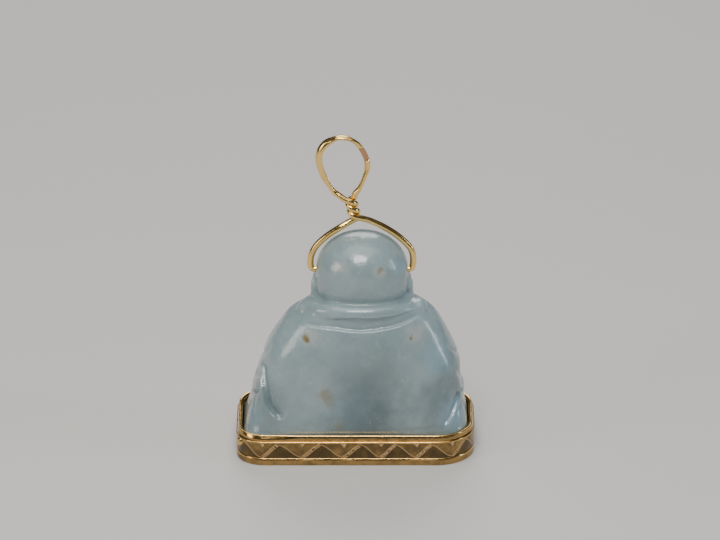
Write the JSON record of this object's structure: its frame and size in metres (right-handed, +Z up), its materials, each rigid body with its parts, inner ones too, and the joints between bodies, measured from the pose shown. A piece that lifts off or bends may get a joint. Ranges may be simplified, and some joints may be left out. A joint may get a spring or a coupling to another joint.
{
  "type": "stone figure pendant with base frame and wire bail",
  "caption": "Small seated robed figure in pale green-grey stone, set in an engraved gold base frame, with a twisted wire bail that swings on the ears.",
  "frame": {"origin": "on the resting plane, at the centre of the base frame", "axes": "+Z up, the figure faces -Y, +X towards the figure's own left hand"},
  "size_m": [0.0252, 0.012, 0.0356],
  "materials": {
    "jade": "polished translucent jade, pale grey-green",
    "wire_gold": "drawn yellow gold wire, satin polish",
    "polished_gold": "burnished yellow gold",
    "engraved_gold": "hand-engraved yellow gold, darker in the cuts",
    "plate_gold": "plain sheet gold, fine scratches from use",
    "cement": "setting cement"
  },
  "bodies": {
    "figure": {"jade_figure": "jade", "bezel_collar": "polished_gold", "divider_wire": "polished_gold", "engraved_strip": "engraved_gold", "foot_rim": "polished_gold", "base_plate": "plate_gold", "setting_cement": "cement"},
    "bail": {"bail_wire": "wire_gold"}
  },
  "joints": [
    {"name": "bail_swing", "type": "hinge", "parent": "figure", "child": "bail", "pos_m": [-0.00068, 0, 0.02011], "axis": [1, 0, 0], "range_deg": [-105, 90]}
  ]
}
